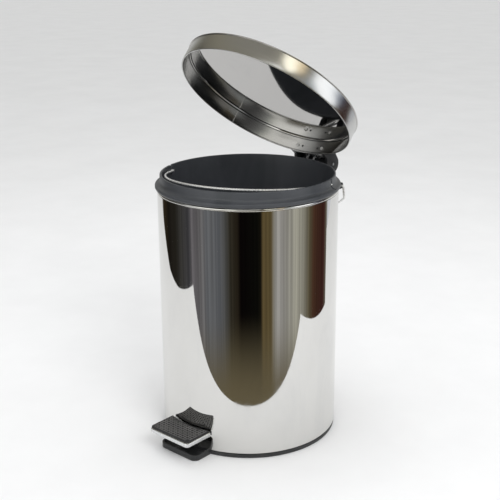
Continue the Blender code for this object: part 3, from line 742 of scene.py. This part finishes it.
# ---------------------------------------------------------------- the lid

def make_lid():
    """Domed top crimped over the band, the band with its hem and holes, and the bracket behind."""
    lip = LID_RADIUS + 0.0010
    under = LID_RADIUS - LID_WALL - GAP
    crimp = arc(0.0010, 60, -90, 8, (lip - 0.0010, LID_TOP_Z - 0.0012))
    top = [(0, 0.3872), (0.030, 0.38705), (0.060, 0.3865), (0.090, 0.3857), (0.1180, 0.3849),
           (0.1262, LID_TOP_Z)]
    crimp += [(lip - 0.0010, LID_TOP_Z - 0.0012), (under, LID_TOP_Z - 0.0012)]
    roll = arc(0.0010, 0, -180, 8, (under - 0.0010, LID_TOP_Z - 0.0026))
    bottom = [(0.1238, LID_TOP_Z - 0.0014), (0.1225, LID_TOP_Z - 0.0010), (0.1180, 0.3839), (0.090, 0.3847),
              (0.060, 0.3855), (0.030, 0.3860), (0, 0.3862)]
    disc = turned("lid_disc", top + crimp + roll + bottom, DISC, LID_PLACE, sharp=40)
    ready(disc, "lid", "polished_steel", "lid_top")

    hem = 0.0009
    inner = LID_RADIUS - LID_WALL
    seam = 148.6
    foot = arc(hem, 90, -220, 14, (LID_RADIUS - hem, LID_RIM_Z + hem))
    profile = [(inner, LID_TOP_Z - 0.0016), (LID_RADIUS, LID_TOP_Z - 0.0016), (LID_RADIUS, LID_TOP_Z - 0.010)]
    profile += [(LID_RADIUS, LID_RIM_Z + 0.006)] + foot[1:]
    profile += [(inner, LID_RIM_Z + 0.0032), (inner, LID_TOP_Z - 0.010)]
    band = turned("lid_skirt", profile, BAND, LID_PLACE, extra=[seam - 0.25, seam - 0.1, seam, seam + 0.1])
    for vertex in band.data.vertices:
        x, y, _ = vertex.co
        if abs(math.degrees(math.atan2(y, x)) - seam) < 0.15:
            vertex.co.x += 0.00022 * x / LID_RADIUS
            vertex.co.y += 0.00022 * y / LID_RADIUS
    tools = []
    for number, (x, radius) in enumerate(((-RIVET_X, 0.0018), (RIVET_X, 0.0018), (-SPARE_HOLE_X, 0.0016),
                                          (SPARE_HOLE_X, 0.0016))):
        spot, outward = on_wall(LID_RADIUS, x, LID_FIXING_Z)
        tools.append(through(f"band_hole_{number}", spot, outward, radius, BAND, LID_PLACE))
    cut(band, *tools)
    ready(band, "lid", "satin_steel", "lid_band")

    place = LID_PLACE @ Matrix.Translation((0, HINGE_Y, HINGE_Z))
    back = Matrix.Translation((0, -HINGE_Y, -HINGE_Z))
    hood = arc(0.0135, -125, 78, 30)
    side = [(-0.0340, -0.0012), (-0.0175, -0.0012)] + hood + [(-0.0100, 0.0165), (-0.0340, 0.0180)]
    bracket = prism("lid_hood", side, "X", -0.0310, 0.0310, BLACK, place)
    room = outline((0.05, 0.35), (LID_RADIUS + GAP, 0.35), (LID_RADIUS + GAP, 0.3815),
                   (LID_RADIUS + 0.0014, 0.3815), (LID_RADIUS + 0.0014, 0.39), (0.05, 0.39))
    cut(bracket, turned("band_room", room, BLACK, place @ back, steps=360))
    ends = 0.0260
    front_room = [(-0.0225, -0.05), (0.0010, -0.05), (0.0010, 0.0118), (-0.0040, 0.0128), (-0.0100, 0.0148),
                  (-0.0225, 0.0150)]
    back_room = [(0.0004, -0.05), (0.05, -0.05), (0.05, -0.0106)] + arc(0.0119, -12, 88, 20)
    cut(
        bracket,
        prism("hood_pocket", front_room, "X", -ends, ends, BLACK, place),
        prism("hood_back", back_room, "X", -ends, ends, BLACK, place),
    )
    softened(bracket, 0.0006, 3)
    crank = Matrix.Rotation(LID_OPEN, 4, "X") @ Vector((0, ROD_Y - HINGE_Y, ROD_Z - HINGE_Z))
    for number, middle in enumerate((-0.0090, 0.0090)):
        nose = arc(0.0034, -170, -20, 14, (crank.y, crank.z))
        lug = prism(f"crank_lug_{number}", [(crank.y - 0.0046, 0.0156)] + nose + [(crank.y + 0.0060, 0.0156)],
                    "X", middle - 0.0012, middle + 0.0012, BLACK, place)
        softened(lug, 0.0003, 2)
        join(bracket, lug)
    cut(
        bracket,
        bar("bracket_bore", 0.0023, (-0.04, 0, 0), (0.04, 0, 0), BLACK, place),
        bar("crank_bore", 0.0018, (-0.02, crank.y, crank.z), (0.02, crank.y, crank.z), BLACK, place),
    )
    ready(bracket, "lid", "black_plastic", "lid_bracket")
    for side, name in ((-1, "left"), (1, "right")):
        spot, outward = on_wall(LID_RADIUS, side * RIVET_X, LID_FIXING_Z)
        inside = spot - outward * LID_WALL
        rivet = fastener(f"band_rivet_{name}", inside, -outward, LID_WALL + 0.0056, 0.0014, 0.0026,
                         WIRE, LID_PLACE)
        ready(rivet, "lid", "bright_wire", f"lid_rivet_{name}")


# ---------------------------------------------------------------- the bucket

def make_bucket():
    """The bucket: tapered wall, raised rim that flares over the bead, keyhole seats for the bail."""
    wall = outline(
        (0, BUCKET_BOTTOM), (0.1095, BUCKET_BOTTOM, 0.006), (0.1197, 0.3520, 0.0004),
        (0.1197, 0.3534, 0.0003),
        (0.1268, 0.3536, 0.0010), (RIM_FLARE, 0.3556, 0.0012), (RIM_FLARE - 0.0002, 0.3590, 0.0014),
        (RIM_RADIUS + 0.0002, 0.3606, 0.0046), (RIM_RADIUS, RIM_TOP, 0.0011), (RIM_INNER, RIM_TOP, 0.0011),
        (RIM_INNER - 0.0003, 0.3530, 0.0010), (0.1077, BUCKET_BOTTOM + 0.0024, 0.0060),
        (0.0700, BUCKET_BOTTOM + 0.0024, 0.0005), (0.0690, BUCKET_BOTTOM + 0.0034, 0.0005),
        (0, BUCKET_BOTTOM + 0.0036), steps=8)
    bucket = turned("bucket_moulding", wall, CHARCOAL, BUCKET_PLACE, sharp=40)
    for side in (-1, 1):
        low, high = sorted((side * 0.1140, side * 0.1300))
        throat = prism("rim_throat", outline((-0.0014, 0.3580, 0.0010), (0.0014, 0.3580, 0.0010),
                       (0.0014, 0.3696, 0.0010), (0.0036, 0.3735), (0.0036, 0.3800), (-0.0036, 0.3800),
                       (-0.0036, 0.3735), (-0.0014, 0.3696, 0.0010)), "X", low, high, CHARCOAL, BUCKET_PLACE)
        seat = bar("rim_seat", 0.0018, (low, 0, BAIL_Z), (high, 0, BAIL_Z), CHARCOAL, BUCKET_PLACE)
        cut(bucket, throat, seat)
    ready(bucket, "bucket", "bucket_plastic", "bucket")

    bow = [(x, -y, 0) for x, y in arc(BAIL_RADIUS, 172, 8, 72)]
    end, corner = 0.1225, BAIL_RADIUS + 0.0006
    first = path((-end, 0, 0), (-corner, 0, 0, 0.0030), bow[0])
    last = path(bow[-1], (corner, 0, 0, 0.0030), (end, 0, 0))
    place = BUCKET_PLACE @ Matrix.Translation((0, 0, BAIL_Z)) @ Matrix.Rotation(-BAIL_REST, 4, "X")
    points = first[:-1] + [Vector(point) for point in bow] + last[1:]
    ready(wire("bail_wire", points, BAIL_WIRE, WIRE, place), "bail", "bright_wire", "bucket_bail")


# ---------------------------------------------------------------- the pedal

def make_pedal():
    """Pressed tread with a rolled skirt, its gridded rubber pad, and two rivets."""
    roll = 0.0013
    levels = [(0.0016, SKIRT_Z + 0.0008), (0.0011, SKIRT_Z + 0.0002), (0.0006, SKIRT_Z),
              (0.0002, SKIRT_Z + 0.0004),
              (0.0, SKIRT_Z + 0.0010), (0.0, PLATE_Z - roll)]
    levels += [(roll - roll * math.cos(a), PLATE_Z - roll + roll * math.sin(a))
               for a in (math.radians(step * 15) for step in range(1, 7))]
    sheet = 0.0014
    inner = [(sheet, PLATE_Z - sheet), (sheet, SKIRT_Z + 0.0012)]
    rings = [[(x, y, z) for x, y in closed_back(TREAD_HALF, TREAD_FRONT, 0.0055, drop, TREAD_BACK)]
             for drop, z in inner + levels]
    ready(loft("tread_plate", rings, TREAD, sharp=50), "pedal", "satin_steel", "pedal_plate")

    make_pad()
    for side, name in ((-1, "left"), (1, "right")):
        spot = Vector((side * 0.0070, -0.1500, PLATE_Z))
        rivet = fastener(f"tread_rivet_{name}", spot, Vector((0, 0, 1)), 0.0036, 0.0014, 0.0030, SMALL)
        rivet.matrix_world = Matrix.Translation((0, 0, -0.0003)) @ rivet.matrix_world
        ready(rivet, "pedal", "satin_steel", f"pedal_rivet_{name}")


def make_pad():
    """The rubber: a slab with a plain border and, standing on it, a waffle of small pits."""
    face = TREAD_BACK + GAP
    top = TREAD_Z - WAFFLE_HEIGHT
    pad_half, pad_front = TREAD_HALF - PAD_BORDER, TREAD_FRONT + PAD_BORDER
    levels = [(0.0, PLATE_Z + GAP), (0.0, top - 0.0006), (0.0002, top - 0.0002), (0.0006, top)]
    rings = [[(x, y, z) for x, y in closed_back(pad_half, pad_front, PAD_CORNER, drop, face)]
             for drop, z in levels]
    ready(loft("pad_slab", rings, RUBBER, sharp=50), "pedal", "black_rubber", "pedal_pad")

    pitch, columns, rows = PIT_PITCH, PIT_COLUMNS, PIT_ROWS
    left = -columns * pitch / 2
    front = TREAD_FRONT + PAD_BORDER + WAFFLE_MARGIN
    waffle = bmesh.new()
    for row in range(rows):
        for column in range(columns):
            x = left + (column + 0.5) * pitch
            y = front + (row + 0.5) * pitch
            corner = row == 0 and column in (0, columns - 1)
            if math.hypot(abs(x) + pitch / 2, y + pitch / 2) < face + 0.0012 or corner:
                continue
            deep = (row + column) % 2 == 0
            stud(waffle, x, y, top - 0.0002, pitch, TREAD_Z - top + 0.0002, PIT_WIDE if deep else PIT_NARROW)
    pits = made("pad_waffle", waffle, WAFFLE, sharp=50)
    # The pits' faces take the near-black rubber, painted shade in the pits.
    pits.data.materials.append(PIT_SHADE_RUBBER)
    ready(pits, "pedal", "black_rubber", "pedal_pad")


def stud(mesh, x, y, z, width, height, pit):
    """One square of the waffle, with a pit of the given width sunk in its top."""
    edge = 0.00006
    sizes = ((width / 2, 0.0), (width / 2, height - edge), (width / 2 - edge, height),
             (pit / 2 + 0.0001, height), (pit / 2, height - 0.0001), (pit * 0.36, height * 0.25))
    rings = []
    for half, lift in sizes:
        square = ((-half, -half), (half, -half), (half, half), (-half, half))
        rings.append([mesh.verts.new((x + a, y + b, z + lift)) for a, b in square])
    for level, (ring, after) in enumerate(zip(rings, rings[1:])):
        for index in range(4):
            other = (index + 1) % 4
            side = mesh.faces.new([ring[index], ring[other], after[other], after[index]])
            # The pit's walls and floor take the second material, the near-black rubber: painted shade.
            side.material_index = int(level >= 3)
    mesh.faces.new(rings[0][::-1])
    mesh.faces.new(rings[-1]).material_index = 1


def make_rod():
    """The push rod: a hairpin of wire whose ends turn outward through the bracket's lugs."""
    back = 0.1350 - ROD_Y
    elbow = 0.3655 - ROD_Z
    foot = 0.0260 - ROD_Z
    half, end = ROD_HALF, 0.0103
    legs = [(-end, 0, 0), (-half, 0, 0, 0.0020), (-half, back, elbow, 0.0050),
            (-half, back, foot, half * 0.98), (half, back, foot, half * 0.98),
            (half, back, elbow, 0.0050), (half, 0, 0, 0.0020), (end, 0, 0)]
    place = Matrix.Translation((0, ROD_Y, ROD_Z))
    ready(wire("rod_wire", path(*legs), ROD_WIRE, WIRE, place), "rod", "bright_wire", "push_rod")


def finish_frame_nodes():
    """The frame's own pieces that stay: pins, lever, bracket, plate and base fasteners."""
    for name in ("base_plate", "base_screw_1", "base_screw_2", "base_screw_3", "lever_bracket",
                 "bracket_rivet_1", "bracket_rivet_2", "lever_pin", "hinge_pin", "pedal_lever"):
        node = frame["nodes"][name]
        node.data.materials.clear()
        node.data.materials.append(ZINC)


# ---------------------------------------------------------------- studio

CAMERA_PLACE = Vector((0.87249, -0.96899, 0.67017))
CAMERA_TURN = math.radians(42.0)
CAMERA_HEADING = CAMERA_TURN - 0.00185
CAMERA_DIP = 0.3049
CAMERA_ROLL = -0.00695
CAMERA_LENS = 69.81
TOWARDS_CAMERA = Matrix.Rotation(CAMERA_TURN, 4, "Z")
PAPER_FRONT = -0.283


def make_camera():
    data = bpy.data.cameras.new("camera")
    data.lens = CAMERA_LENS
    data.clip_start = 0.05
    data.clip_end = 60
    camera = bpy.data.objects.new("camera", data)
    bpy.context.scene.collection.objects.link(camera)
    turn = Matrix.Rotation(CAMERA_HEADING, 4, "Z") @ Matrix.Rotation(math.pi / 2 - CAMERA_DIP, 4, "X")
    camera.matrix_world = Matrix.Translation(CAMERA_PLACE) @ turn @ Matrix.Rotation(CAMERA_ROLL, 4, "Z")
    bpy.context.scene.camera = camera


def paper_with_painted_falloff(name, near, far):
    """Matt paper with a faint mottle, and a painted falloff of light: a little darker far from the bin."""
    finish = Finish(name, near, 0.9, 0.0, 0.2)
    mottle = finish.noise(5, 5, 0.62)
    parts = finish.node("SeparateXYZ", {0: finish.spot()})
    x, y = parts, parts.node.outputs[1]
    squares = [finish.maths("MULTIPLY", side, side) for side in (x, y)]
    reach = finish.maths("SQRT", finish.maths("ADD", *squares))
    # Painted light: the colour fades from near to far with distance from the bin, a painted falloff of the
    # lamps.
    tone = finish.mix(finish.fit(reach, 0.3, 2.2, 0.0, 1.0, True), near, far)
    light = finish.fit(mottle, 0.35, 0.65, 0.965, 1.0)
    grey = finish.node("CombineColor", {0: light, 1: light, 2: light})
    finish.colour(finish.mix(1.0, tone, grey, "MULTIPLY"))
    return finish.material


def sheet(name, points, finish, place=STILL):
    mesh = bmesh.new()
    mesh.faces.new([mesh.verts.new(point) for point in points])
    item = made(name, mesh, finish, place)
    return item


def make_floor():
    """The floor, and the short sheet of paper that the steel mirrors in its place."""
    far = 30.0
    corners = [(-far, -far, 0), (far, -far, 0), (far, far, 0), (-far, far, 0)]
    # Both the floor and the mirrored paper carry the painted falloff of light, lighter near the bin.
    floor = sheet("floor", corners, paper_with_painted_falloff("floor_paper", (0.90, 0.90, 0.90), (0.80, 0.80, 0.795)))
    floor.visible_glossy = False
    front, left, right, back = PAPER_FRONT, -0.74, 0.56, 3.0
    plan = [(left, front), (right, front), (right + 0.03, 0.18), (1.05, 0.42), (2.0, back), (-2.0, back),
            (-0.92, 0.70), (-0.77, 0.31), (left, 0.05)]
    paper = sheet("paper", [(x, y, 0.0001) for x, y in plan], paper_with_painted_falloff("paper", (0.86, 0.86, 0.855),
                  (0.74, 0.74, 0.735)), TOWARDS_CAMERA)
    for flag in ("visible_camera", "visible_diffuse", "visible_shadow", "visible_transmission"):
        setattr(paper, flag, False)


ROOM = (
    (-180, (0.60, 0.60, 0.59)), (-137, (0.58, 0.58, 0.57)), (-134, (0.030, 0.022, 0.012)),
    (-118, (0.012, 0.010, 0.008)), (-104, (0.020, 0.018, 0.014)), (-94, (0.050, 0.048, 0.045)),
    (-80, (0.056, 0.055, 0.060)), (-74, (0.17, 0.16, 0.17)), (-66, (0.12, 0.115, 0.12)),
    (-60, (0.19, 0.185, 0.19)), (-54, (0.12, 0.125, 0.135)), (-46, (0.16, 0.165, 0.175)),
    (-37, (0.10, 0.105, 0.115)), (-29, (0.085, 0.085, 0.083)), (-23, (0.035, 0.031, 0.022)),
    (-15, (0.024, 0.019, 0.012)), (-10, (0.003, 0.002, 0.002)), (12, (0.004, 0.004, 0.003)),
    (16, (0.012, 0.010, 0.006)), (18, (0.11, 0.080, 0.035)), (29, (0.12, 0.090, 0.040)),
    (33, (0.30, 0.29, 0.26)), (37, (0.41, 0.40, 0.38)), (45, (0.29, 0.28, 0.26)),
    (62, (0.38, 0.37, 0.31)), (72, (0.31, 0.30, 0.25)), (83, (0.12, 0.10, 0.06)),
    (90, (0.062, 0.030, 0.018)), (111, (0.045, 0.016, 0.014)), (116, (0.14, 0.12, 0.09)),
    (120, (0.62, 0.64, 0.68)), (180, (0.60, 0.60, 0.59)),
)


WINDOW_GAIN = 1.8
WINDOWS = (
    (-180, (0.33, 0.33, 0.32)), (-156, (0.30, 0.30, 0.29)), (-146, (0.17, 0.165, 0.14)),
    (-131, (0.055, 0.050, 0.040)), (-110, (0.050, 0.048, 0.042)), (-98, (0.050, 0.050, 0.046)),
    (-88, (0.10, 0.10, 0.098)), (-80, (0.36, 0.365, 0.36)), (-68, (0.52, 0.525, 0.52)),
    (-60, (0.92, 0.92, 0.90)), (-26, (0.95, 0.95, 0.91)), (-18, (0.60, 0.61, 0.56)),
    (-12, (0.22, 0.23, 0.22)), (-4, (0.11, 0.11, 0.11)), (6, (0.055, 0.055, 0.055)),
    (15, (0.045, 0.045, 0.045)), (19, (0.13, 0.13, 0.13)), (25, (0.24, 0.25, 0.245)),
    (32, (0.22, 0.23, 0.23)), (40, (0.17, 0.17, 0.17)), (50, (0.24, 0.26, 0.27)),
    (56, (0.46, 0.49, 0.50)), (62, (0.95, 0.96, 0.97)), (82, (0.93, 0.95, 0.98)),
    (88, (0.30, 0.33, 0.38)), (96, (0.058, 0.062, 0.090)), (110, (0.040, 0.038, 0.038)),
    (118, (0.10, 0.10, 0.085)), (128, (0.26, 0.26, 0.24)), (145, (0.36, 0.36, 0.35)),
    (180, (0.33, 0.33, 0.32)),
)
PANELS = (
    (34, 9, 0.56, 0.80, (2.20, 2.10, 1.75)),
    (46, 3, 0.52, 0.74, (1.60, 1.25, 0.75)),
    (-6, 20, 0.42, 0.70, (1.30, 1.30, 1.25)),
)


def make_world():
    """Even pale light for matt surfaces; shiny ones mirror a dim room with upright hangings."""
    world = bpy.data.worlds.new("studio")
    world.use_nodes = True
    bpy.context.scene.world = world
    tree = world.node_tree
    tree.nodes.clear()
    room = Graph(tree)
    towards = room.node("TexCoord", output="Generated")
    turned_to = room.node("VectorRotate", {"Vector": towards, "Axis": (0, 0, 1), "Angle": -CAMERA_TURN},
                          rotation_type="AXIS_ANGLE")
    across = room.node("SeparateXYZ", {0: turned_to})
    depth, height = across.node.outputs[1], across.node.outputs[2]
    bearing = room.maths("ARCTAN2", across, room.maths("MULTIPLY", depth, -1.0))
    turn = room.fit(bearing, -math.pi, math.pi, 0.0, 1.0)
    stripes = room.ramp(turn, [((angle + 180) / 360, colour) for angle, colour in ROOM])
    streak_at = room.node("CombineXYZ", {0: room.maths("MULTIPLY", bearing, 9.0), 1: height})
    streaks = room.node("TexNoise", {"Vector": streak_at, "Scale": 2.2, "Detail": 5.0, "Roughness": 0.6},
                        output="Fac")
    uneven = room.fit(streaks, 0.25, 0.75, 0.62, 1.38)
    stripes = room.mix(1.0, stripes, room.node("CombineColor", {0: uneven, 1: uneven, 2: uneven}), "MULTIPLY")
    low_floor = room.fit(height, -0.45, -0.36, 1.0, 0.0, True)
    facing = room.fit(room.maths("ABSOLUTE", bearing), 1.2, 1.8, 1.0, 0.0, True)
    stripes = room.mix(room.maths("MULTIPLY", low_floor, facing), stripes, (0.145, 0.120, 0.070))
    windows = room.ramp(turn, [((angle + 180) / 360, colour) for angle, colour in WINDOWS])
    bright = room.node("VectorMath", {0: windows, "Scale": WINDOW_GAIN}, operation="SCALE")
    ceiling = room.ramp(room.fit(height, 0.4, 1.0, 0.0, 1.0),
                        [(0.0, (0.17, 0.16, 0.13)), (0.45, (0.28, 0.26, 0.20)), (1.0, (0.30, 0.29, 0.26))])
    mirrored = room.mix(room.fit(height, 0.37, 0.46, 0.0, 1.0, True), bright, ceiling)
    mirrored = room.mix(room.fit(height, -0.20, -0.10, 0.0, 1.0, True), stripes, mirrored)
    for middle, half, low, high, colour in PANELS:
        across = room.maths("ABSOLUTE", room.maths("SUBTRACT", bearing, math.radians(middle)))
        inside = room.fit(across, math.radians(half), math.radians(half + 5), 1.0, 0.0, True)
        above = room.fit(height, low - 0.03, low + 0.03, 0.0, 1.0, True)
        below = room.fit(height, high - 0.03, high + 0.03, 1.0, 0.0, True)
        mask = room.maths("MULTIPLY", inside, room.maths("MULTIPLY", above, below))
        mirrored = room.mix(mask, mirrored, colour)
    light = room.node("LightPath", output="Is Glossy Ray")
    even = room.node("Background", {0: (0.86, 0.865, 0.87, 1), 1: 1.0})
    seen = room.node("Background", {0: mirrored, 1: 1.0})
    both = room.node("MixShader", {0: light, 1: even, 2: seen})
    out = tree.nodes.new("ShaderNodeOutputWorld")
    tree.links.new(both, out.inputs[0])


def softbox(name, bearing, rise, distance, size, power, colour=(1, 1, 1)):
    """A square soft light aimed at the bin; the bearing is from the camera's side, in degrees."""
    data = bpy.data.lights.new(name, "AREA")
    data.shape = "SQUARE"
    data.size = size
    data.energy = power
    data.color = colour
    lamp = bpy.data.objects.new(name, data)
    bpy.context.scene.collection.objects.link(lamp)
    a, e = math.radians(bearing), math.radians(rise)
    away = TOWARDS_CAMERA @ Vector((math.sin(a) * math.cos(e), -math.cos(a) * math.cos(e), math.sin(e)))
    lamp.matrix_world = (Matrix.Translation(Vector((0, 0, 0.25)) + away * distance)
                         @ away.to_track_quat("Z", "Y").to_matrix().to_4x4())
    return lamp


def make_lights():
    key = softbox("key_softbox", 24, 38, 2.3, 0.95, 17.0)
    top = softbox("top_softbox", -150, 78, 2.4, 1.8, 9.0)
    key.visible_glossy = False
    top.visible_glossy = False


# ---------------------------------------------------------------- everything

make_camera()
make_world()
make_lights()
make_floor()
make_tube()
make_base()
make_hinge()
make_handle()
make_lid()
make_bucket()
make_pedal()
make_rod()
finish_frame_nodes()
bpy.context.scene.view_settings.view_transform = "Standard"

bpy.context.view_layer.update()
